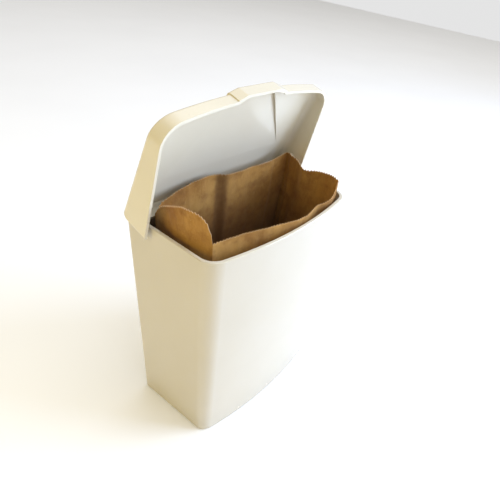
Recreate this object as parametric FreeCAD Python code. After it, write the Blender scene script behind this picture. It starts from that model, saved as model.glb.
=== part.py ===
import FreeCAD, Part
import math
import os

# Slim hinged-lid waste bin with a paper liner. Millimetres, +Z up, front faces -Y.
# The origin is the centre of the footprint, on the surface that the bin stands on.
# The lid is modelled closed and then turned to its open stop, which is the rest pose.

V = FreeCAD.Vector

# ---- Driving dimensions: tub ----
# A depth is a distance forward of the tub's flat back.
RIM_Z = 250.0
BASE_Z = 1.0             # the feet lift the moulding by this much
RIM_BACK_WIDTH = 197.4
RIM_FRONT_WIDTH = 186.7
RIM_CORNER_DEPTH = 107.3
RIM_BOW = 10.7           # how far the front wall bulges past its corners
RIM_CORNER_R = 17.7
BASE_BACK_WIDTH = 195.4
BASE_FRONT_WIDTH = 179.3
BASE_CORNER_DEPTH = 96.5
BASE_BOW = 10.05
BASE_CORNER_R = 13.4
REAR_CORNER_R = 4.0
WALL = 2.5
FLOOR = 3.0
RIM_BAND_HEIGHT = 3.0
RIM_BAND_PROUD = 0.5
RIM_ROUND_R = 0.9
BASE_CHAMFER = 0.8
BACK_SKIM = 0.02         # taken off the back to leave one true plane

# ---- Driving dimensions: lid ----
HINGE_DEPTH = 23.0       # hinge axis, forward of the back
HINGE_Z = 259.4
OPEN_ANGLE = 76.0
LID_SIDE_GAP = 5.35      # outside of the lid skirt, out from the rim
LID_FRONT_EXTRA = 2.7
LID_SKIRT_Z = 243.0
LID_TOP_BACK_Z = 278.2   # height of the sloping top over the back of the tub
LID_TOP_FALL = 21.5      # how far it falls over the depth of the rim
LID_REAR_DEPTH = 6.0     # rear edge of the lid, forward of the back
LID_WALL = 2.4
LID_REAR_LIP_Z = 262.0
LID_EDGE_R = 3.0
LID_REAR_SWING_R = 20.8  # the rear top edge is rounded about the hinge axis
LID_INNER_R = 6.0
TAB_HALF_WIDTH = 20.0
TAB_PROUD = 3.4
TAB_CHAMFER = 9.0        # how much wider the tab is at its root, on each side
TAB_EDGE_R = 3.0
WEDGE_RISE = 1.8         # how far the panel stands up at its front
WEDGE_RECESS = 3.2       # how deep it is from inside, at its front
WEDGE_BACK_DEPTH = 44.0  # where the panel fades into the lid
WEDGE_BACK_HALF = 75.0
WEDGE_FLARE = 0.625      # sideways growth of each half per unit of depth
WEDGE_WALL_INSET = 1.6

# ---- Driving dimensions: hinge ----
EAR_R = 4.6
EAR_OUTER_X = 97.1
EAR_THICKNESS = 3.0
BOSS_R = 4.0
BOSS_END_X = 98.35
BUSH_R = 2.6
BUSH_FLANGE_R = 3.6
BUSH_FLANGE_T = 1.0
PIN_R = 1.5
RUNNING_GAP = 0.05
PIN_HEAD_R = 3.2
PIN_HEAD_T = 1.2
PIN_TIP_X = 101.6
SPRING_T = 0.35
SPRING_RISE = 0.55
THRUST_T = 1.0
STOP_R = 2.5             # stop stud that lands on the rim behind the ear
STOP_GAP = 0.3
STOP_DEPTH = 9.0         # where it lands, forward of the back
SIDE_RELIEF_INNER_X = 93.2

# ---- Driving dimensions: small parts ----
FOOT_R = 7.0
FOOT_T = 2.0
FOOT_INSET = 16.0
SCREW_R = 2.5
SCREW_SPACING_X = 120.0
SCREW_SPACING_Z = 150.0
SCREW_CENTRE_Z = 135.0
LINER_WALL = 0.3
LINER_HALF_WIDTH = 83.0
LINER_TAPER = 4.0
LINER_BASE_DEPTHS = (7.0, 101.0)
LINER_TOP_DEPTHS = (20.5, 113.0)
LINER_BOW = 9.5
LINER_CORNER_R = 6.0
LINER_TOP_Z = 268.0
LINER_GAP = 0.6

# ---- Derived values ----
RIM_DEPTH = RIM_CORNER_DEPTH + RIM_BOW
BACK_Y = (RIM_DEPTH + RIM_BAND_PROUD) / 2
TOP_SLOPE = LID_TOP_FALL / RIM_DEPTH
TAPER = (RIM_BACK_WIDTH - RIM_FRONT_WIDTH) / 2 / RIM_CORNER_DEPTH
HINGE_Y = BACK_Y - HINGE_DEPTH
HINGE = V(0, HINGE_Y, HINGE_Z)
X_AXIS = V(1, 0, 0)
SIDES = (("left", -1), ("right", 1))


def depth_y(depth):
    """The Y of a point that lies this far forward of the back."""
    return BACK_Y - depth


def outline(back_width, front_width, corner_depth, bow, corner_r, z, rear_depth=0.0, rear_r=REAR_CORNER_R):
    """Closed D-shaped wire: flat back, tapered sides, rounded corners and a bowed front."""
    slope = (back_width - front_width) / 2 / corner_depth
    half_rear = back_width / 2 - slope * rear_depth
    half_front = front_width / 2
    front_r = (half_front ** 2 + bow ** 2) / (2 * bow)
    centre = V(0, depth_y(corner_depth + bow - front_r), z)
    # Fillet centre: inside the side line by corner_r and inside the front arc by corner_r.
    lean = math.atan(slope)
    offset = corner_r / math.cos(lean)

    def side_x(depth):
        return back_width / 2 - offset - slope * depth

    low, high = 0.0, corner_depth + bow
    for _ in range(60):
        depth = (low + high) / 2
        reach = math.hypot(side_x(depth), depth_y(depth) - centre.y)
        if reach < front_r - corner_r:
            low = depth
        else:
            high = depth
    fillet = V(side_x(low), depth_y(low), z)
    side_end = fillet + V(math.cos(lean), -math.sin(lean), 0) * corner_r
    out = (fillet - centre).normalize()
    front_end = fillet + out * corner_r
    mid = (V(math.cos(lean), -math.sin(lean), 0) + out).normalize()
    side_mid = fillet + mid * corner_r
    rear_y = depth_y(rear_depth)
    # Rear corner: its centre is inside both the rear line and the side line by rear_r.
    rear_x = half_rear - rear_r / math.cos(lean) - slope * rear_r
    rear = V(rear_x, rear_y - rear_r, z)
    rear_start = rear + V(0, rear_r, 0)
    rear_end = rear + V(math.cos(lean), -math.sin(lean), 0) * rear_r
    rear_turn = (V(0, 1, 0) + V(math.cos(lean), -math.sin(lean), 0)).normalize()
    rear_mid = rear + rear_turn * rear_r

    def flip(point):
        return V(-point.x, point.y, point.z)

    edges = [
        Part.LineSegment(flip(rear_start), rear_start),
        Part.Arc(rear_start, rear_mid, rear_end),
        Part.LineSegment(rear_end, side_end),
        Part.Arc(side_end, side_mid, front_end),
        Part.Arc(front_end, centre + V(0, -front_r, 0), flip(front_end)),
        Part.Arc(flip(front_end), flip(side_mid), flip(side_end)),
        Part.LineSegment(flip(side_end), flip(rear_end)),
        Part.Arc(flip(rear_end), flip(rear_mid), flip(rear_start)),
    ]
    return Part.Wire([edge.toShape() for edge in edges])


def tub_wire(z, inset=0.0):
    """Outline of the tub at one height, moved inwards by inset all round."""
    t = (z - BASE_Z) / (RIM_Z - BASE_Z)

    def at(base, rim):
        return base + (rim - base) * t

    back = at(BASE_BACK_WIDTH, RIM_BACK_WIDTH)
    corner_depth = at(BASE_CORNER_DEPTH, RIM_CORNER_DEPTH)
    slope = (back - at(BASE_FRONT_WIDTH, RIM_FRONT_WIDTH)) / 2 / corner_depth
    new_back = back - 2 * inset / math.cos(math.atan(slope))
    new_depth = corner_depth - inset
    return outline(
        new_back,
        new_back - 2 * slope * new_depth,
        new_depth,
        at(BASE_BOW, RIM_BOW),
        at(BASE_CORNER_R, RIM_CORNER_R) - inset,
        z,
        rear_depth=inset if inset > 0 else -BACK_SKIM,
        rear_r=max(REAR_CORNER_R - inset, 0.8),
    )


def lid_wire(z, inset=0.0, rear_depth=LID_REAR_DEPTH, rear_r=3.2):
    """Outline of the lid skirt, its sides and front moved inwards by inset."""
    lean = math.cos(math.atan(TAPER))
    back = RIM_BACK_WIDTH + 2 * (LID_SIDE_GAP - inset) / lean
    corner_depth = RIM_CORNER_DEPTH + LID_SIDE_GAP + LID_FRONT_EXTRA - inset
    return outline(
        back,
        back - 2 * TAPER * corner_depth,
        corner_depth,
        RIM_BOW,
        RIM_CORNER_R + LID_SIDE_GAP - inset,
        z,
        rear_depth=rear_depth,
        rear_r=rear_r,
    )


def prism(wire, z):
    """Solid between a level wire and the same wire at height z."""
    return Part.Face(wire).extrude(V(0, 0, z - wire.BoundBox.ZMin))


def slab(x0, x1, depth0, depth1, z0, z1):
    """Box between two X values, two depths and two heights."""
    return Part.makeBox(x1 - x0, depth1 - depth0, z1 - z0, V(x0, depth_y(depth1), z0))


def cylinder_x(radius, x0, x1, depth, z):
    """Round bar along X."""
    return Part.makeCylinder(radius, x1 - x0, V(x0, depth_y(depth), z), X_AXIS)


def both_sides(shape):
    """A right-hand shape and its mirror image, as a list."""
    return [shape.mirror(V(0, 0, 0), X_AXIS), shape]


def lid_top_z(depth):
    """Height of the lid's sloping outer face."""
    return LID_TOP_BACK_Z - TOP_SLOPE * depth


def above_plane(drop):
    """Everything over the lid's sloping face, lowered by drop."""
    reach = 200.0
    profile = [
        V(-reach, depth_y(-reach), lid_top_z(-reach) - drop),
        V(-reach, depth_y(reach), lid_top_z(reach) - drop),
        V(-reach, depth_y(reach), RIM_Z + 2 * reach),
        V(-reach, depth_y(-reach), RIM_Z + 2 * reach),
    ]
    face = Part.Face(Part.makePolygon(profile + profile[:1]))
    return face.extrude(V(2 * reach, 0, 0))


def turned(shape, angle):
    """Copy of a shape turned about the hinge; a positive angle opens the lid."""
    copy = shape.copy()
    copy.rotate(HINGE, X_AXIS, -angle)
    return copy


def at_height(shape, minimum):
    """Edges of a shape that lie wholly above a height."""
    return [edge for edge in shape.Edges if edge.BoundBox.ZMin > minimum]


def make_body():
    """The tub: drafted walls, floor, rim band, hinge ears, foot recesses and wall-screw holes."""
    stages = [tub_wire(BASE_Z, BASE_CHAMFER), tub_wire(BASE_Z + BASE_CHAMFER)]
    stages += [tub_wire(z, inset) for z, inset in rim_band_profile()]
    body = Part.makeLoft(stages, True, True)
    body = body.cut(slab(-200, 200, -50, 0, -10, 300))
    ear_depth = (HINGE_DEPTH - EAR_R, HINGE_DEPTH + EAR_R)
    for side in both_sides(make_ear(ear_depth)):
        body = body.fuse(side)
    cavity = Part.makeLoft([tub_wire(BASE_Z + FLOOR, WALL), tub_wire(RIM_Z + 1.0, WALL)], True, True)
    cavity = cavity.cut(Part.makeCompound(both_sides(make_ear(ear_depth))))
    body = body.cut(cavity)
    for side in both_sides(cylinder_x(BUSH_R, EAR_OUTER_X - EAR_THICKNESS - 1, EAR_OUTER_X + 1,
                                      HINGE_DEPTH, HINGE_Z)):
        body = body.cut(side)
    for x, y in foot_places():
        body = body.cut(Part.makeCylinder(FOOT_R, FOOT_T - BASE_Z, V(x, y, BASE_Z)))
    for x in (-SCREW_SPACING_X / 2, SCREW_SPACING_X / 2):
        for z in (SCREW_CENTRE_Z - SCREW_SPACING_Z / 2, SCREW_CENTRE_Z + SCREW_SPACING_Z / 2):
            hole = Part.makeCylinder(SCREW_R, 20, V(x, BACK_Y + 5, z), V(0, -1, 0))
            body = body.cut(hole)
    return body.removeSplitter()


def rim_band_profile():
    """Heights and insets of the rim band: a slanted underside, a short face and a rounded top."""
    steps = 4
    band_z = RIM_Z - RIM_BAND_HEIGHT
    profile = [(band_z - RIM_BAND_PROUD, 0.0), (band_z, -RIM_BAND_PROUD)]
    for step in range(steps + 1):
        turn = math.pi / 2 * step / steps
        z = RIM_Z - RIM_ROUND_R * (1 - math.sin(turn))
        profile.append((z, -RIM_BAND_PROUD + RIM_ROUND_R * (1 - math.cos(turn))))
    return profile


def make_ear(depths):
    """Upright plate at the right-hand wall that carries the hinge bush."""
    inner_x = EAR_OUTER_X - EAR_THICKNESS
    plate = slab(inner_x, EAR_OUTER_X, depths[0], depths[1], RIM_Z - 14.0, HINGE_Z)
    return plate.fuse(cylinder_x(EAR_R, inner_x, EAR_OUTER_X, HINGE_DEPTH, HINGE_Z))


def foot_places():
    """Centres of the four feet."""
    rear_x = BASE_BACK_WIDTH / 2 - FOOT_INSET
    front_x = BASE_FRONT_WIDTH / 2 - FOOT_INSET
    rear_y = depth_y(FOOT_INSET)
    front_y = depth_y(BASE_CORNER_DEPTH - FOOT_INSET + 4.0)
    return [(-front_x, front_y), (front_x, front_y), (-rear_x, rear_y), (rear_x, rear_y)]


def panel_z(depth, front_rise):
    """Height of the raised panel's top face, which meets the lid's face at its back."""
    front = RIM_DEPTH + LID_SIDE_GAP + LID_FRONT_EXTRA
    rise = front_rise * (depth - WEDGE_BACK_DEPTH) / (front - WEDGE_BACK_DEPTH)
    return lid_top_z(depth) + rise


def wedge(drop, inset, front_rise):
    """The panel that rises from the lid's top towards the finger tab."""
    deep = 6.0
    rings = []
    for depth in (WEDGE_BACK_DEPTH - 10.0, RIM_DEPTH + 2.0 - inset):
        half = WEDGE_BACK_HALF - WEDGE_FLARE * (depth - WEDGE_BACK_DEPTH) - inset
        top = panel_z(depth, front_rise) - drop
        y = depth_y(depth)
        ring = [V(-half, y, top), V(half, y, top), V(half, y, top - deep), V(-half, y, top - deep)]
        rings.append(Part.makePolygon(ring + ring[:1]))
    return Part.makeLoft(rings, True, True)


def tab(drop, inset, front_rise):
    """Finger tab that stands out of the middle of the front skirt."""
    root = RIM_DEPTH + LID_SIDE_GAP + LID_FRONT_EXTRA - inset
    front = root + TAB_PROUD
    half = TAB_HALF_WIDTH - inset
    z = LID_SKIRT_Z - 1.0
    points = [
        V(-half - TAB_CHAMFER, depth_y(root - 8.0), z),
        V(half + TAB_CHAMFER, depth_y(root - 8.0), z),
        V(half + TAB_CHAMFER, depth_y(root), z),
        V(half, depth_y(front), z),
        V(-half, depth_y(front), z),
        V(-half - TAB_CHAMFER, depth_y(root), z),
    ]
    solid = Part.Face(Part.makePolygon(points + points[:1])).extrude(V(0, 0, 40))
    back, reach = depth_y(root - 20.0), depth_y(root + 20.0)
    cutter = [
        V(-100, back, panel_z(root - 20.0, front_rise) - drop),
        V(-100, reach, panel_z(root + 20.0, front_rise) - drop),
        V(-100, reach, 400),
        V(-100, back, 400),
    ]
    solid = solid.cut(Part.Face(Part.makePolygon(cutter + cutter[:1])).extrude(V(200, 0, 0)))
    corners = [edge for edge in solid.Edges
               if edge.BoundBox.ZMax > z + 1 and edge.BoundBox.YMin < depth_y(front) + 0.1]
    return solid.makeFillet(max(TAB_EDGE_R - inset / 2, 0.5), corners)


def lid_profile():
    """Side view of the lid as a bar along X: upright rear, rounded rear corner, sloping top."""
    rise = math.sqrt(LID_REAR_SWING_R ** 2 - (HINGE_DEPTH - LID_REAR_DEPTH) ** 2)
    # The slope meets the rounding where its distance from the axis is the swing radius.
    height = LID_TOP_BACK_Z - TOP_SLOPE * HINGE_DEPTH - HINGE_Z
    normal = 1 + TOP_SLOPE ** 2
    root = math.sqrt(normal * LID_REAR_SWING_R ** 2 - height ** 2)
    back = (root - TOP_SLOPE * height) / normal
    x = -200.0
    low = V(x, depth_y(LID_REAR_DEPTH), HINGE_Z + rise)
    high = V(x, HINGE_Y + back, lid_top_z(HINGE_DEPTH - back))
    turn = (math.atan2(low.z - HINGE_Z, low.y - HINGE_Y) + math.atan2(high.z - HINGE_Z, high.y - HINGE_Y)) / 2
    middle = V(x, HINGE_Y + LID_REAR_SWING_R * math.cos(turn), HINGE_Z + LID_REAR_SWING_R * math.sin(turn))
    front = 200.0
    floor_back = V(x, depth_y(LID_REAR_DEPTH), LID_SKIRT_Z)
    floor_front = V(x, depth_y(front), LID_SKIRT_Z)
    top_front = V(x, depth_y(front), LID_SKIRT_Z + 2.0)
    bend = V(x, depth_y(140.0), lid_top_z(140.0))
    edges = [
        Part.LineSegment(floor_back, low),
        Part.Arc(low, middle, high),
        Part.LineSegment(high, bend),
        Part.LineSegment(bend, top_front),
        Part.LineSegment(top_front, floor_front),
        Part.LineSegment(floor_front, floor_back),
    ]
    return Part.Face(Part.Wire([edge.toShape() for edge in edges])).extrude(V(400, 0, 0))


def lid_hollow():
    """The space inside the lid, closed."""
    # It is first made longer than the lid, so that its long edges can be rounded.
    hollow_wire = lid_wire(LID_SKIRT_Z - 1, LID_WALL, rear_depth=-40.0, rear_r=1.0)
    hollow = prism(hollow_wire, 330.0).cut(above_plane(LID_WALL)).cut(slab(-200, 200, -60, -30, 200, 400))
    long_edges = [edge for edge in at_height(hollow, LID_SKIRT_Z + 4)
                  if edge.BoundBox.YMin < depth_y(-29.0)]
    hollow = hollow.makeFillet(LID_INNER_R, long_edges)
    hollow = hollow.cut(slab(-200, 200, -60, LID_REAR_DEPTH + LID_WALL, 200, 400))
    rear_round = cylinder_x(LID_REAR_SWING_R - LID_WALL, -200, 200, HINGE_DEPTH, HINGE_Z)
    hollow = hollow.cut(slab(-200, 200, -60, HINGE_DEPTH, HINGE_Z, 400).cut(rear_round))
    hollow = hollow.fuse(tab(LID_WALL, LID_WALL, WEDGE_RECESS))
    return hollow.fuse(wedge(LID_WALL, WEDGE_WALL_INSET, WEDGE_RECESS))


def make_lid():
    """The lid, closed: sloping top, skirt, finger tab, hinge bosses and stop studs."""
    outer = prism(lid_wire(LID_SKIRT_Z, rear_depth=-20.0), 300.0).common(lid_profile())
    edges = [edge for edge in outer.Edges if edge.BoundBox.ZMin > LID_SKIRT_Z + 1
             or edge.BoundBox.YMin > depth_y(LID_REAR_DEPTH + 1)]
    edges = [edge for edge in edges if edge.BoundBox.ZMax > LID_SKIRT_Z + 1]
    outer = outer.makeFillet(LID_EDGE_R, edges)
    grip = tab(0, 0, WEDGE_RISE).cut(slab(-200, 200, -50, 300, 200, LID_SKIRT_Z))
    outer = outer.fuse(grip).fuse(wedge(0, 0, WEDGE_RISE))

    lid = outer.cut(lid_hollow())

    cheek_x = lid_inner_x(HINGE_DEPTH)
    rear_opening = slab(-cheek_x, cheek_x, -20, LID_REAR_DEPTH + LID_WALL + 1.0, 230, LID_REAR_LIP_Z)
    lid = lid.cut(rear_opening)
    below_rim = slab(SIDE_RELIEF_INNER_X, cheek_x, -20, HINGE_DEPTH + 30, 200, RIM_Z + STOP_GAP)
    for side in both_sides(turned(below_rim, -OPEN_ANGLE)):
        lid = lid.cut(side)

    boss = cylinder_x(BOSS_R, BOSS_END_X, cheek_x + 1.0, HINGE_DEPTH, HINGE_Z)
    stop_z = RIM_Z + STOP_GAP + STOP_R
    stop = turned(cylinder_x(STOP_R, SIDE_RELIEF_INNER_X, cheek_x + 0.6, STOP_DEPTH, stop_z), -OPEN_ANGLE)
    pin_hole = cylinder_x(PIN_R, BOSS_END_X - 1, PIN_TIP_X, HINGE_DEPTH, HINGE_Z)
    for add, hole in zip(both_sides(boss.fuse(stop)), both_sides(pin_hole)):
        lid = lid.fuse(add).cut(hole)
    return lid.removeSplitter()


def lid_inner_x(depth):
    """X of the inner face of the right-hand cheek at a depth."""
    lean = math.cos(math.atan(TAPER))
    return RIM_BACK_WIDTH / 2 + (LID_SIDE_GAP - LID_WALL) / lean - TAPER * depth


def ring_x(outer_r, inner_r, x0, x1):
    """Ring on the hinge axis."""
    outer = cylinder_x(outer_r, x0, x1, HINGE_DEPTH, HINGE_Z)
    return outer.cut(cylinder_x(inner_r, x0 - 1, x1 + 1, HINGE_DEPTH, HINGE_Z))


def make_bush():
    """Flanged bush pressed into the ear from inside the tub."""
    inner_x = EAR_OUTER_X - EAR_THICKNESS
    sleeve = ring_x(BUSH_R, PIN_R + RUNNING_GAP, inner_x - BUSH_FLANGE_T, EAR_OUTER_X)
    flange = ring_x(BUSH_FLANGE_R, PIN_R + RUNNING_GAP, inner_x - BUSH_FLANGE_T, inner_x)
    return sleeve.fuse(flange).removeSplitter()


def spring_x():
    """X of the inner and outer faces of the dished spring washer."""
    outer = EAR_OUTER_X - EAR_THICKNESS - BUSH_FLANGE_T - RUNNING_GAP
    return outer - SPRING_T - SPRING_RISE, outer


def make_spring():
    """Dished steel washer that gives the hinge its drag."""
    inner_x, outer_x = spring_x()
    small = PIN_R + 0.15
    large = PIN_HEAD_R
    profile = [
        V(outer_x, large, 0),
        V(outer_x - SPRING_T, large, 0),
        V(inner_x, small, 0),
        V(inner_x + SPRING_T, small, 0),
    ]
    face = Part.Face(Part.makePolygon(profile + profile[:1]))
    solid = face.revolve(V(0, 0, 0), X_AXIS, 360)
    solid.translate(HINGE)
    return solid


def make_pin():
    """Headed pin pushed through the bush into the lid's blind boss."""
    head_end = spring_x()[0] - 0.02
    shank = cylinder_x(PIN_R, head_end, PIN_TIP_X, HINGE_DEPTH, HINGE_Z)
    tip = [edge for edge in shank.Edges if edge.BoundBox.XMin > PIN_TIP_X - 0.01]
    shank = shank.makeChamfer(0.4, tip)
    head = cylinder_x(PIN_HEAD_R, head_end - PIN_HEAD_T, head_end, HINGE_DEPTH, HINGE_Z)
    crown = [edge for edge in head.Edges if edge.BoundBox.XMax < head_end - PIN_HEAD_T + 0.01]
    head = head.makeFillet(1.0, crown)
    return head.fuse(shank).removeSplitter()


def make_thrust_washer():
    """Plain washer between the ear and the lid's boss."""
    start = EAR_OUTER_X + (BOSS_END_X - EAR_OUTER_X - THRUST_T) / 2
    return ring_x(BOSS_R, PIN_R + RUNNING_GAP, start, start + THRUST_T)


def make_foot(x, y):
    """Rubber foot with a rounded tread."""
    foot = Part.makeCylinder(FOOT_R, FOOT_T, V(x, y, 0))
    tread = [edge for edge in foot.Edges if edge.BoundBox.ZMax < 0.01]
    return foot.makeFillet(0.6, tread)


def liner_wire(z, depths, inset=0.0):
    """Outline of the bag, bowed along the tub's front wall, between two depths."""
    width = 2 * (LINER_HALF_WIDTH - inset)
    return outline(width, width - LINER_TAPER, depths[1] - LINER_BOW - inset, LINER_BOW,
                   LINER_CORNER_R - inset, z, rear_depth=depths[0] + inset,
                   rear_r=LINER_CORNER_R - inset)


def make_liner():
    """Open-topped paper bag that stands in the tub and leans on its front wall."""
    base_z = BASE_Z + FLOOR + LINER_GAP
    outer = Part.makeLoft([liner_wire(base_z, LINER_BASE_DEPTHS),
                           liner_wire(LINER_TOP_Z, LINER_TOP_DEPTHS)], True, True)
    inner = Part.makeLoft([liner_wire(base_z + LINER_WALL, LINER_BASE_DEPTHS, LINER_WALL),
                           liner_wire(LINER_TOP_Z + 1, LINER_TOP_DEPTHS, LINER_WALL)], True, True)
    return outer.cut(inner)


def save(name, shape):
    """Write one node, and print what it is."""
    solids = shape.Solids
    if len(solids) == 1:
        shape = solids[0]
    box = shape.optimalBoundingBox()
    print(f"{name:22s} solids {len(solids)} valid {shape.isValid()} volume {shape.Volume:10.1f} "
          f"x {box.XMin:7.1f} {box.XMax:7.1f} y {box.YMin:7.1f} {box.YMax:7.1f} z {box.ZMin:6.1f} {box.ZMax:6.1f}")
    shape.exportStep(f"parts/{name}.step")


def main():
    os.makedirs("parts", exist_ok=True)
    save("bin_body", make_body())
    save("lid", turned(make_lid(), OPEN_ANGLE))
    hinge_parts = {
        "hinge_bush": make_bush(),
        "hinge_pin": turned(make_pin(), OPEN_ANGLE),
        "spring_washer": turned(make_spring(), OPEN_ANGLE),
        "thrust_washer": make_thrust_washer(),
    }
    for name, right in hinge_parts.items():
        for (side, _), shape in zip(SIDES, both_sides(right)):
            save(f"{name}_{side}", shape)
    names = ("front_left", "front_right", "rear_left", "rear_right")
    for name, (x, y) in zip(names, foot_places()):
        save(f"foot_{name}", make_foot(x, y))
    save("paper_liner", make_liner())


main()
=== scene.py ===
import math

import bpy
from mathutils import Matrix, Vector, noise


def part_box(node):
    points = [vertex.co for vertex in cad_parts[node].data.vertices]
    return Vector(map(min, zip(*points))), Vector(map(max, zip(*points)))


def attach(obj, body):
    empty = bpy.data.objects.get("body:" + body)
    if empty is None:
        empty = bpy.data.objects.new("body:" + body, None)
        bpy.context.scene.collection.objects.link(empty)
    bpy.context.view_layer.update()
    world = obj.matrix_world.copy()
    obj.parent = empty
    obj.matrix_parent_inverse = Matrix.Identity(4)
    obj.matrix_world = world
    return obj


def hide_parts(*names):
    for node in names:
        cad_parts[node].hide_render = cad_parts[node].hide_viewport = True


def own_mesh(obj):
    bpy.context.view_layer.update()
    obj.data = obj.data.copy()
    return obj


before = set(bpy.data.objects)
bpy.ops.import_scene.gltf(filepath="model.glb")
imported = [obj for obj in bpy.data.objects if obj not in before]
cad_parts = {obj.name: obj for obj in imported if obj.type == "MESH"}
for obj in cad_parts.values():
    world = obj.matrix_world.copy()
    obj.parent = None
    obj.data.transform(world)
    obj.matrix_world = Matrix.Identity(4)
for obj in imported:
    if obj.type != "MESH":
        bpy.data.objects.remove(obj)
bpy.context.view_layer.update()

MM = 0.001


# ---------------------------------------------------------------- places read from the frame

BACK_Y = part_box("bin_body")[1][1]        # the tub's flat back
LINER_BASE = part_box("paper_liner")[0][2]  # where the bag stands on the tub's floor


def at(x, depth, z):
    """A point given in millimetres: x to the right, depth forward of the back, z up."""
    return Vector((x * MM, BACK_Y - depth * MM, z * MM))


# ---------------------------------------------------------------- small helpers

def nothing_selected():
    """Leave edit mode and clear the selection."""
    if bpy.context.object and bpy.context.object.mode != "OBJECT":
        bpy.ops.object.mode_set(mode="OBJECT")
    bpy.ops.object.select_all(action="DESELECT")


def through(points, x):
    """Smooth curve through the given points (x, y), with flat tangents at the ends."""
    if x <= points[0][0]:
        return points[0][1]
    if x >= points[-1][0]:
        return points[-1][1]
    index = max(i for i in range(len(points) - 1) if points[i][0] <= x)

    def slope(i):
        if i == 0 or i == len(points) - 1:
            return 0.0
        before = (points[i][1] - points[i - 1][1]) / (points[i][0] - points[i - 1][0])
        after = (points[i + 1][1] - points[i][1]) / (points[i + 1][0] - points[i][0])
        if before * after <= 0:
            return 0.0
        return 2 * before * after / (before + after)

    (x0, y0), (x1, y1) = points[index], points[index + 1]
    span = x1 - x0
    t = (x - x0) / span
    h00 = (1 + 2 * t) * (1 - t) ** 2
    h10 = t * (1 - t) ** 2
    h01 = t * t * (3 - 2 * t)
    h11 = t * t * (t - 1)
    return h00 * y0 + h10 * span * slope(index) + h01 * y1 + h11 * span * slope(index + 1)


def smoothstep(low, high, value):
    """0 below low, 1 above high, smooth between."""
    t = min(max((value - low) / (high - low), 0.0), 1.0)
    return t * t * (3 - 2 * t)


# ---------------------------------------------------------------- materials

class Tree:
    """A node tree being built, with short ways to add and join nodes."""

    def __init__(self, tree, coordinates):
        self.nodes = tree.nodes
        self.links = tree.links
        self.coordinates = coordinates

    def put(self, value, socket):
        """Join an output to a socket, or set the socket to a plain value."""
        if isinstance(value, bpy.types.NodeSocket):
            self.links.new(value, socket)
        elif isinstance(value, tuple) and len(socket.default_value) == 4:
            socket.default_value = (*value, 1.0)
        else:
            socket.default_value = value

    def mapped(self, scale):
        node = self.nodes.new("ShaderNodeMapping")
        node.inputs["Scale"].default_value = scale
        self.put(self.coordinates, node.inputs["Vector"])
        return node.outputs["Vector"]

    def noise(self, scale, detail=3.0, roughness=0.55, vector=None, distortion=0.0):
        node = self.nodes.new("ShaderNodeTexNoise")
        self.put(scale, node.inputs["Scale"])
        self.put(detail, node.inputs["Detail"])
        self.put(roughness, node.inputs["Roughness"])
        self.put(distortion, node.inputs["Distortion"])
        self.put(vector or self.coordinates, node.inputs["Vector"])
        return node.outputs["Fac"]

    def ramp(self, value, stops):
        node = self.nodes.new("ShaderNodeValToRGB")
        elements = node.color_ramp.elements
        while len(elements) < len(stops):
            elements.new(0.5)
        for element, (position, colour) in zip(elements, stops):
            element.position = position
            element.color = (*colour, 1.0)
        self.put(value, node.inputs["Fac"])
        return node.outputs["Color"]

    def remap(self, value, low, high, to_low, to_high, smooth=False):
        node = self.nodes.new("ShaderNodeMapRange")
        if smooth:
            node.interpolation_type = "SMOOTHSTEP"
        self.put(value, node.inputs["Value"])
        self.put(low, node.inputs["From Min"])
        self.put(high, node.inputs["From Max"])
        self.put(to_low, node.inputs["To Min"])
        self.put(to_high, node.inputs["To Max"])
        return node.outputs["Result"]

    def reckon(self, operation, first, second):
        node = self.nodes.new("ShaderNodeMath")
        node.operation = operation
        self.put(first, node.inputs[0])
        self.put(second, node.inputs[1])
        return node.outputs["Value"]

    def mix(self, factor, first, second, blend="MIX"):
        node = self.nodes.new("ShaderNodeMix")
        node.data_type = "RGBA"
        node.blend_type = blend
        self.put(factor, node.inputs[0])
        self.put(first, node.inputs[6])
        self.put(second, node.inputs[7])
        return node.outputs[2]

    def axis(self, name):
        """One coordinate of the object's own space."""
        node = self.nodes.new("ShaderNodeSeparateXYZ")
        self.put(self.coordinates, node.inputs[0])
        return node.outputs[name]

    def group(self, tree, **values):
        """A shared effect placed in this tree with its own values."""
        node = self.nodes.new("ShaderNodeGroup")
        node.node_tree = tree
        for name, value in values.items():
            self.put(value, node.inputs[name.replace("_", " ")])
        return node.outputs


class Finish(Tree):
    """A material with its Principled shader."""

    def __init__(self, name):
        self.material = bpy.data.materials.new(name)
        self.material.use_nodes = True
        tree = self.material.node_tree
        self.shader = tree.nodes["Principled BSDF"]
        super().__init__(tree, tree.nodes.new("ShaderNodeTexCoord").outputs["Object"])

    def set(self, **values):
        for name, value in values.items():
            self.put(value, self.shader.inputs[name.replace("_", " ")])

    def bump(self, height, strength, distance):
        node = self.nodes.new("ShaderNodeBump")
        node.inputs["Strength"].default_value = strength
        node.inputs["Distance"].default_value = distance
        self.put(height, node.inputs["Height"])
        self.put(node.outputs["Normal"], self.shader.inputs["Normal"])


def shared_effect(name, inputs, outputs):
    """An empty node group with named sockets, each given as (name, kind, default)."""
    group = bpy.data.node_groups.new(name, "ShaderNodeTree")
    for label, kind, default in inputs:
        socket = group.interface.new_socket(label, in_out="INPUT", socket_type=kind)
        socket.default_value = default
    for label, kind in outputs:
        group.interface.new_socket(label, in_out="OUTPUT", socket_type=kind)
    entry = group.nodes.new("NodeGroupInput")
    leave = group.nodes.new("NodeGroupOutput")
    place = group.nodes.new("ShaderNodeTexCoord").outputs["Object"]
    return group, Tree(group, place), entry.outputs, leave.inputs


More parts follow.
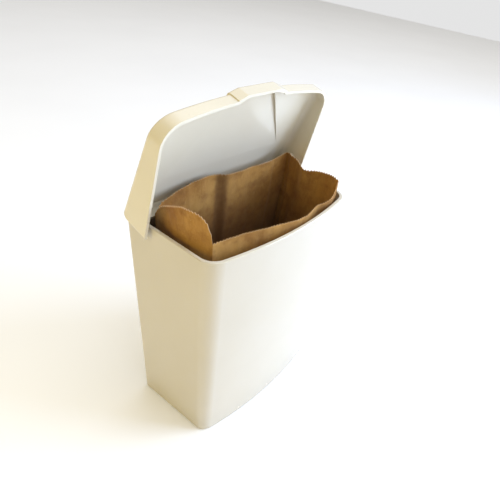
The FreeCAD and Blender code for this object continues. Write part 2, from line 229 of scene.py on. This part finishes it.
def mould_skin():
    """Skin of a moulding: slow cloudiness in the colour, fine scuffs in the gloss, orange peel."""
    group, tree, given, result = shared_effect(
        "mould_skin",
        [("Colour", "NodeSocketColor", (0.8, 0.8, 0.8, 1.0)),
         ("Shade", "NodeSocketColor", (0.7, 0.7, 0.7, 1.0)),
         ("Gloss", "NodeSocketFloat", 0.2),
         ("Wear", "NodeSocketFloat", 0.06)],
        [("Colour", "NodeSocketColor"), ("Roughness", "NodeSocketFloat"),
         ("Height", "NodeSocketFloat")])
    cloud = tree.noise(11.0, 3.0)
    tone = tree.mix(tree.remap(cloud, 0.35, 0.70, 0.0, 1.0), given["Colour"], given["Shade"])
    speck = tree.remap(tree.noise(520.0, 2.0), 0.70, 0.78, 0.0, 0.18)
    tree.put(tree.mix(speck, tone, given["Shade"], "MULTIPLY"), result["Colour"])
    scuff = tree.remap(tree.noise(95.0, 6.0, 0.7), 0.45, 0.75, 0.0, given["Wear"])
    tree.put(tree.reckon("ADD", given["Gloss"], scuff), result["Roughness"])
    tree.put(tree.noise(420.0, 1.0), result["Height"])
    return group


def dust():
    """Mask of the fine dust that gathers low down and in patches."""
    group, tree, given, result = shared_effect(
        "dust",
        [("Height", "NodeSocketFloat", 0.03), ("Amount", "NodeSocketFloat", 0.3)],
        [("Mask", "NodeSocketFloat")])
    low = tree.remap(tree.axis("Z"), 0.0, given["Height"], given["Amount"], 0.0, smooth=True)
    patch = tree.remap(tree.noise(60.0, 4.0), 0.35, 0.65, 0.25, 1.0)
    tree.put(tree.reckon("MULTIPLY", low, patch), result["Mask"])
    return group


def moulded_plastic(name, skin, settled, colour, shade, gloss, wear):
    """Smooth glossy injection-moulded plastic."""
    finish = Finish(name)
    made = finish.group(skin, Colour=colour, Shade=shade, Gloss=gloss, Wear=wear)
    mask = finish.group(settled, Height=0.03, Amount=0.22)["Mask"]
    dull = finish.reckon("MULTIPLY", mask, 0.5)
    finish.set(Base_Color=finish.mix(mask, made["Colour"], (0.50, 0.46, 0.38)),
               Roughness=finish.reckon("ADD", made["Roughness"], dull),
               IOR=1.5, Coat_Weight=0.25, Coat_Roughness=0.05)
    finish.bump(made["Height"], 0.03, 0.0002)
    return finish.material


def lap_seam_and_painted_shade(finish):
    """Mask of the glued lap down the bag's back panel, soft at both sides: the lap's own darker
    tone, together with painted shade along its step.
    """
    wander = finish.reckon("MULTIPLY", finish.noise(18.0), 0.006)
    across = finish.reckon("ADD", finish.axis("X"), wander)
    left = finish.remap(across, -0.013, -0.008, 0.0, 1.0, smooth=True)
    right = finish.remap(across, -0.001, 0.005, 1.0, 0.0, smooth=True)
    back = finish.remap(finish.axis("Y"), BACK_Y - 0.050, BACK_Y - 0.040, 0.0, 0.62)
    return finish.reckon("MULTIPLY", finish.reckon("MULTIPLY", left, right), back)


def kraft_paper():
    """Brown kraft: fine fibres, soft mottling, pale raw edges, painted shade towards the bottom,
    and a darker glued lap deepened with painted shade.
    """
    finish = Finish("kraft_paper")
    fibre = finish.noise(650.0, 5.0, 0.65, finish.mapped((1.0, 1.0, 0.30)))
    fleck = finish.noise(1500.0, 2.0, 0.5, finish.mapped((1.0, 1.0, 0.45)))
    mottle = finish.noise(75.0, 5.0, 0.65)
    cloud = finish.noise(14.0, 2.0)
    streak = finish.noise(42.0, 5.0, 0.65, finish.mapped((1.0, 1.0, 0.30)), 0.4)
    base = finish.ramp(fibre, [(0.25, (0.290, 0.130, 0.026)), (0.75, (0.385, 0.194, 0.044))])
    tone = finish.mix(finish.remap(cloud, 0.42, 0.62, 0.0, 0.55), base, (0.530, 0.305, 0.082))
    tone = finish.mix(finish.remap(streak, 0.48, 0.72, 0.0, 0.50), tone, (0.180, 0.072, 0.016))
    tone = finish.mix(finish.remap(mottle, 0.45, 0.68, 0.0, 0.60), tone, (0.195, 0.080, 0.019))
    tone = finish.mix(finish.remap(fleck, 0.66, 0.74, 0.0, 0.45), tone, (0.580, 0.370, 0.155))
    # Painted shade: the paper is darkened towards the bag's bottom, where its inside lies in
    # shadow.
    low = finish.remap(finish.axis("Z"), 0.175, 0.262, 0.72, 0.0, smooth=True)
    tone = finish.mix(low, tone, (0.115, 0.044, 0.009))
    # The glued lap's darker tone, deepened with painted shade along the lap's step.
    tone = finish.mix(lap_seam_and_painted_shade(finish), tone, (0.110, 0.046, 0.012))
    edge = finish.nodes.new("ShaderNodeAttribute")
    edge.attribute_name = "cut_edge"
    tone = finish.mix(edge.outputs["Fac"], tone, (0.640, 0.430, 0.235))
    finish.set(Base_Color=tone, Specular_IOR_Level=0.22, Sheen_Weight=0.08,
               Roughness=finish.remap(mottle, 0.30, 0.70, 0.78, 0.92))
    finish.bump(finish.reckon("ADD", fibre, finish.reckon("MULTIPLY", mottle, 1.6)), 0.30, 0.00025)
    return finish.material


def rubber(settled):
    """Soft moulded rubber, matt with a fine tooth."""
    finish = Finish("soft_rubber")
    grain = finish.noise(600.0, 4.0)
    tone = finish.ramp(grain, [(0.3, (0.28, 0.275, 0.26)), (0.7, (0.34, 0.335, 0.315))])
    mask = finish.group(settled, Height=0.004, Amount=0.5)["Mask"]
    finish.set(Base_Color=finish.mix(mask, tone, (0.42, 0.39, 0.33)),
               Roughness=finish.remap(grain, 0.3, 0.7, 0.68, 0.82))
    finish.bump(grain, 0.2, 0.0003)
    return finish.material


def spring_steel():
    """Bright strip steel with fine rolling marks."""
    finish = Finish("spring_steel")
    brush = finish.noise(900.0, 4.0, 0.6, finish.mapped((0.1, 1.0, 1.0)))
    tone = finish.ramp(brush, [(0.3, (0.50, 0.50, 0.49)), (0.7, (0.62, 0.62, 0.60))])
    finish.set(Base_Color=tone,
               Metallic=1.0, Roughness=finish.remap(brush, 0.3, 0.7, 0.25, 0.40))
    finish.bump(brush, 0.1, 0.0001)
    return finish.material


def floor_paper():
    """Plain pale floor."""
    finish = Finish("floor_paper")
    cloud = finish.noise(3.0, 2.0)
    tone = finish.ramp(cloud, [(0.3, (0.93, 0.93, 0.93)), (0.7, (0.95, 0.95, 0.95))])
    finish.set(Base_Color=tone, Roughness=0.8, Specular_IOR_Level=0.2)
    return finish.material


def dress(node, material):
    """Give a CAD node its material."""
    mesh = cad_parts[node].data
    mesh.materials.clear()
    mesh.materials.append(material)


# ---------------------------------------------------------------- the paper liner

# The bag is four panels, taken round from its back left corner. All are in millimetres.
# columns: mesh columns along the panel, two to each tooth of the pinked edge
# ends:    where the panel starts and stops, along X for back and front, by depth for the sides
# base:    the same at the flat base
# mouth:   how the panel runs at the mouth, as (place along it, its other coordinate)
# edge:    the height of the cut edge, as (place along it, z)
# slack:   how far the panel may hang outwards
# seed:    picks the panel's own run of creases
PANELS = {
    "back": dict(
        columns=110, ends=(-84.5, 86.0), base=(-78.0, 78.0), slack=0.8, seed=0.0,
        mouth=[(-84.5, 24.0), (-60.0, 22.0), (-30.0, 21.0), (20.0, 22.0), (60.0, 25.0),
               (86.0, 27.0)],
        edge=[(-84.5, 253.5), (-77.0, 262.0), (-52.0, 268.0), (-30.0, 270.5), (-5.0, 267.8),
              (18.0, 265.6), (48.0, 265.0), (68.0, 266.6), (86.0, 269.8)]),
    "right": dict(
        columns=48, ends=(27.0, 103.0), base=(8.0, 92.2), slack=2.5, seed=31.0,
        mouth=[(27.0, 86.0), (40.0, 85.0), (57.0, 82.4), (74.0, 83.4), (92.0, 82.8),
               (103.0, 80.0)],
        edge=[(27.0, 269.8), (33.0, 270.4), (43.0, 267.5), (56.0, 263.2), (63.0, 263.8),
              (76.0, 267.2), (90.0, 269.4), (98.0, 270.0), (103.0, 269.0)]),
    "front": dict(
        columns=104, ends=(80.0, -80.5), base=(78.0, -78.0), slack=1.8, seed=57.0,
        mouth=[(-80.5, 95.0), (-70.0, 96.6), (-40.0, 102.4), (-10.0, 109.4), (10.0, 111.8),
               (42.0, 109.0), (66.0, 107.6), (80.0, 103.0)],
        edge=[(-80.5, 258.5), (-70.0, 258.2), (-40.0, 258.0), (-10.0, 256.5), (10.0, 254.6),
              (42.0, 253.4), (52.0, 252.8), (66.0, 254.4), (75.5, 256.5), (80.0, 269.0)]),
    "left": dict(
        columns=48, ends=(95.0, 24.0), base=(92.2, 8.0), slack=1.5, seed=83.0,
        mouth=[(24.0, -84.5), (36.0, -86.0), (54.0, -86.4), (74.0, -86.0), (84.0, -84.6),
               (91.0, -82.8), (95.0, -80.5)],
        edge=[(24.0, 253.5), (28.0, 259.0), (35.0, 266.0), (51.0, 274.5), (65.0, 280.5),
              (74.0, 281.8), (82.0, 280.8), (90.0, 276.8), (93.2, 268.0), (95.0, 258.5)]),
}
LINER_COLUMNS = sum(panel["columns"] for panel in PANELS.values())
LINER_ROWS = 72
BASE_Z = LINER_BASE / MM
SPREAD_Z = 250.0                  # the bag has opened out to its mouth by this height
BASE_BACK_DEPTH = 8.0
BASE_FRONT_DEPTH = 100.0
BASE_FRONT_BOW = 780.0            # x squared over this is how far the front falls back
BASE_HALF_WIDTH = 78.0
TOOTH_HEIGHT = 0.85
CUT_EDGE_HEIGHT = 0.0014          # share of the bag's height that shows the pale cut edge
PAPER = 0.35                      # thickness of the modelled sheet
ROW_CROWDING = 0.55               # 0 spaces the rows evenly, 1 crowds them all to the mouth
MERGE_WITHIN = 0.00002            # metres
BASE_INSET = 0.012                # metres, the ring of faces inside the base's edge
SHARP_FOLD = math.radians(38.0)   # folds sharper than this stay crisp


def base_wall(name, place):
    """The other coordinate of a panel at the flat base."""
    if name == "back":
        return BASE_BACK_DEPTH
    if name == "front":
        return BASE_FRONT_DEPTH - place * place / BASE_FRONT_BOW
    return BASE_HALF_WIDTH if name == "right" else -BASE_HALF_WIDTH


def between(start, end, share):
    """The value a share of the way from start to end."""
    return start + (end - start) * share


def hump(middle, width, value):
    """1 at the middle, falling away on both sides."""
    return math.exp(-((value - middle) / width) ** 2)


def creases(name, place, z):
    """How far the paper stands inwards of its panel: folds, handling creases and crumple."""
    seed = PANELS[name]["seed"]
    drift = 6.0 * noise.noise(Vector((seed, z / 90.0, 4.0)))
    broad = noise.noise(Vector((seed + (place + drift) / 24.0, z / 120.0, 1.0)))
    ridge = 1.0 - 2.0 * abs(noise.noise(Vector((seed + (place + drift) / 13.0, z / 75.0, 7.0))))
    crumple = abs(noise.noise(Vector((seed + place / 11.0, z / 9.0, 12.0))))
    fine = noise.noise(Vector((seed + place / 4.5, z / 4.0, 20.0)))
    out = 1.5 * broad + 0.55 * ridge + 0.8 * crumple + 0.14 * fine
    if name == "back":
        # The glued lap, then a shallow pleat near the right-hand corner.
        lap = smoothstep(-11.0, -2.0, place + 0.35 * drift)
        out += 3.2 * lap * (1.0 - smoothstep(10.0, 52.0, place))
        out += 1.2 * smoothstep(30.0, 62.0, place) * (1.0 - smoothstep(62.0, 66.0, place))
    if name == "right":
        # The gusset's own fold, and a crease beside the back corner.
        out += 2.2 * hump(60.0, 6.0, place) * smoothstep(120.0, 255.0, z)
        out += 2.0 * hump(36.0, 3.5, place)
    if name == "front":
        # The mouth is pinched in here, away from the tub's wall.
        out += 2.6 * hump(46.0, 9.0, place) * smoothstep(200.0, 252.0, z)
    return out * smoothstep(BASE_Z, 70.0, z)


def liner_point(along, height, tooth):
    """A point of the bag: along its wall by column, and from its base (0) to the cut edge (1)."""
    for name, panel in PANELS.items():
        if along <= panel["columns"]:
            break
        along -= panel["columns"]
    share = along / panel["columns"]
    place = between(*panel["ends"], share)
    base_place = between(*panel["base"], share)
    z = between(BASE_Z, through(panel["edge"], place), height)
    climbed = (z - BASE_Z) / (SPREAD_Z - BASE_Z)
    spread = 0.35 * smoothstep(0.0, 1.0, climbed) + 0.65 * min(climbed, 1.0)
    from_corner = min(1.0, 12.0 * share * (1.0 - share))
    inwards = max(creases(name, place, z) * from_corner, -panel["slack"])
    wall = between(base_wall(name, base_place), through(panel["mouth"], place), spread)
    wall += inwards if name in ("back", "left") else -inwards
    line = between(base_place, place, spread)
    x, depth = (line, wall) if name in ("back", "front") else (wall, line)
    return at(x, depth, z + tooth * TOOTH_HEIGHT)


def make_liner(kraft):
    """The gusseted kraft bag with its pinked mouth, standing in the tub."""
    nothing_selected()
    bpy.ops.mesh.primitive_grid_add(x_subdivisions=LINER_COLUMNS, y_subdivisions=LINER_ROWS,
                                    size=1.0)
    liner = bpy.context.object
    liner.name = "kraft_liner"
    mesh = liner.data
    cut = mesh.attributes.new("cut_edge", "FLOAT", "POINT").data
    for vertex in mesh.vertices:
        column = round((vertex.co.x + 0.5) * LINER_COLUMNS)
        row = round((vertex.co.y + 0.5) * LINER_ROWS)
        from_top = LINER_ROWS - row
        # Rows crowd towards the mouth, and the last one is a fine strip along the cut.
        step = row / (LINER_ROWS - 1)
        crowded = 1.0 - (1.0 - step) ** 2
        height = min(between(step, crowded, ROW_CROWDING), 1.0)
        if from_top <= 1:
            height = 1.0 - from_top * CUT_EDGE_HEIGHT
        tooth = (1.0 if column % 2 else -1.0) * max(0.0, 1.0 - max(from_top - 1, 0) / 2.0)
        cut[vertex.index].value = 1.0 if from_top == 0 else 0.0
        vertex.co = liner_point(column, height, tooth)
    bpy.ops.object.mode_set(mode="EDIT")
    bpy.ops.mesh.select_all(action="SELECT")
    bpy.ops.mesh.remove_doubles(threshold=MERGE_WITHIN)
    bpy.ops.mesh.select_all(action="DESELECT")
    bpy.ops.object.mode_set(mode="OBJECT")
    for vertex in mesh.vertices:
        vertex.select = vertex.co.z < (BASE_Z + 0.05) * MM
    bpy.ops.object.mode_set(mode="EDIT")
    bpy.ops.mesh.select_mode(type="VERT")
    bpy.ops.mesh.edge_face_add()
    bpy.ops.mesh.inset(thickness=BASE_INSET)
    bpy.ops.mesh.quads_convert_to_tris()
    bpy.ops.mesh.select_all(action="SELECT")
    bpy.ops.mesh.normals_make_consistent(inside=False)
    bpy.ops.object.mode_set(mode="OBJECT")
    wall = liner.modifiers.new("paper", "SOLIDIFY")
    wall.thickness = PAPER * MM
    wall.offset = 0.0
    bpy.ops.object.modifier_apply(modifier=wall.name)
    bpy.ops.object.shade_smooth_by_angle(angle=SHARP_FOLD)
    mesh.materials.append(kraft)
    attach(liner, "tub")
    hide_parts("paper_liner")
    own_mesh(liner)


# ---------------------------------------------------------------- camera, lights and floor

CAMERA_PLACE = (-260.6, 297.0, 459.2)        # x, depth and z in millimetres
CAMERA_RIGHT = (0.6459, -0.7528, 0.1269)     # the picture's own right and upward directions
CAMERA_UP = (0.3684, 0.4529, 0.8119)
LENS = 30.15
LENS_SHIFT = (-0.0802, -0.0238)
WORLD_STRENGTH = 0.78
TOWARDS_COOL = (0.78, -0.60, 0.18)           # the side of the world that glows cool and bright


def make_camera():
    """Above and to the left of the bin, looking down at its front."""
    data = bpy.data.cameras.new("camera")
    camera = bpy.data.objects.new("camera", data)
    bpy.context.collection.objects.link(camera)
    right = Vector(CAMERA_RIGHT).normalized()
    up = Vector(CAMERA_UP)
    back = right.cross(up).normalized()
    up = back.cross(right)
    axes = Matrix((right, up, back)).transposed()
    camera.matrix_world = Matrix.Translation(at(*CAMERA_PLACE)) @ axes.to_4x4()
    data.sensor_width = 36.0
    data.lens = LENS
    data.shift_x, data.shift_y = LENS_SHIFT
    data.clip_start = 0.01
    bpy.context.scene.camera = camera


def area_light(name, place, target, size, power, colour, in_gloss=True):
    """A soft rectangular light; in_gloss says whether shiny faces mirror it."""
    data = bpy.data.lights.new(name, "AREA")
    data.shape = "RECTANGLE"
    data.size, data.size_y = size
    data.energy = power
    data.color = colour
    light = bpy.data.objects.new(name, data)
    bpy.context.collection.objects.link(light)
    light.location = place
    light.visible_glossy = in_gloss
    light.rotation_euler = (Vector(target) - Vector(place)).to_track_quat("-Z", "Y").to_euler()


def make_studio():
    """Even soft light: cool from the front right, warm from the left, over a pale floor."""
    bpy.context.scene.view_settings.view_transform = "Standard"
    world = bpy.data.worlds.new("studio")
    bpy.context.scene.world = world
    world.use_nodes = True
    nodes = world.node_tree.nodes
    sky = Tree(world.node_tree, nodes.new("ShaderNodeTexCoord").outputs["Generated"])
    facing = sky.nodes.new("ShaderNodeVectorMath")
    facing.operation = "DOT_PRODUCT"
    sky.put(sky.coordinates, facing.inputs[0])
    facing.inputs[1].default_value = TOWARDS_COOL
    glow = sky.ramp(sky.remap(facing.outputs["Value"], -1.0, 1.0, 0.0, 1.0),
                    [(0.05, (0.12, 0.07, 0.01)), (0.38, (0.34, 0.26, 0.12)),
                     (0.60, (0.86, 0.87, 0.88)), (0.95, (1.10, 1.14, 1.20))])
    seen = sky.nodes.new("ShaderNodeLightPath").outputs["Is Camera Ray"]
    background = nodes["Background"]
    sky.put(sky.mix(seen, glow, (1.0, 1.0, 1.0)), background.inputs["Color"])
    background.inputs["Strength"].default_value = WORLD_STRENGTH
    area_light("front_key", (1.05, -1.10, 0.75), (0.0, 0.0, 0.15), (0.8, 0.9), 29.0,
               (0.58, 0.72, 1.0))
    area_light("top_soft", (0.3, -0.2, 3.2), (0.0, 0.0, 0.0), (5.0, 5.0), 79.0,
               (0.98, 0.985, 0.99))
    area_light("warm_side", (-1.15, 0.02, 0.60), (0.0, 0.0, 0.26), (0.5, 0.6), 4.2,
               (1.0, 0.76, 0.10), in_gloss=False)
    nothing_selected()
    bpy.ops.mesh.primitive_plane_add(size=8.0, location=(0.0, 0.0, 0.0))
    floor = bpy.context.object
    floor.name = "floor"
    floor.data.materials.append(floor_paper())


# ---------------------------------------------------------------- the object

def dress_cad_nodes(kraft):
    """Give every CAD node its finish."""
    skin, settled = mould_skin(), dust()
    tub = moulded_plastic("tub_plastic", skin, settled, (0.600, 0.550, 0.448),
                          (0.580, 0.528, 0.423), 0.16, 0.06)
    lid = moulded_plastic("lid_plastic", skin, settled, (0.740, 0.685, 0.550),
                          (0.720, 0.660, 0.520), 0.20, 0.07)
    acetal = moulded_plastic("hinge_acetal", skin, settled, (0.78, 0.77, 0.70),
                             (0.74, 0.73, 0.66), 0.34, 0.08)
    feet = rubber(settled)
    spring = spring_steel()
    # The start of a node's name picks its finish.
    finishes = {"bin_body": tub, "lid": lid, "hinge": acetal, "thrust": acetal,
                "spring": spring, "foot": feet, "paper": kraft}
    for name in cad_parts:
        key = next(start for start in finishes if name.startswith(start))
        dress(name, finishes[key])


make_camera()
make_studio()
kraft_finish = kraft_paper()
dress_cad_nodes(kraft_finish)
make_liner(kraft_finish)
